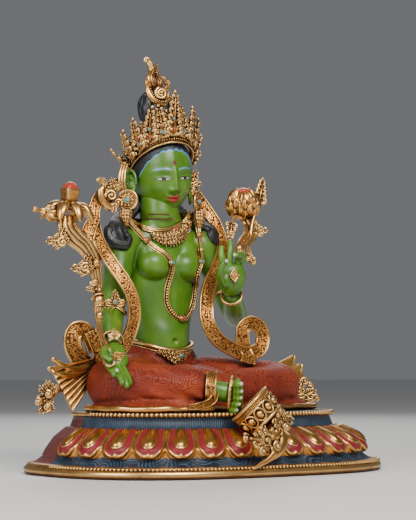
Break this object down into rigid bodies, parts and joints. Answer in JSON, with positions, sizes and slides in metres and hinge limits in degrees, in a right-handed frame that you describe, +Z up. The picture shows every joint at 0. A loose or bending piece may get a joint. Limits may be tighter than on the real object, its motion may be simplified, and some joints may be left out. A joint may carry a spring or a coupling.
{
  "type": "seated tara statue",
  "caption": "Seated Green Tara statue on a lotus plinth, painted and gilded, with looping scarves, lotus stems and one foot on a small lotus.",
  "frame": {"origin": "middle of the plinth's footprint, on the ground", "axes": "+Z up, -Y to the front of the plinth, -X towards the figure's own right hand"},
  "size_m": [0.328, 0.2296, 0.377],
  "materials": {
    "plinth_paint": "dark blue paint with gilded and crimson petals",
    "green_enamel": "glossy green skin, red-orange engraved robe, black hair and gilt ornaments",
    "gilt": "warm fire gilding with brown patina in the hollows"
  },
  "bodies": {
    "root": {"plinth": "plinth_paint", "figure": "green_enamel", "crown": "gilt", "topknot_finial": "gilt", "earring_right": "gilt", "earring_left": "gilt", "scarf_right": "gilt", "scarf_left": "gilt", "scarf_tails_rear": "gilt", "lotus_right": "gilt", "lotus_left": "gilt", "footrest_lotus": "gilt"}
  },
  "joints": []
}
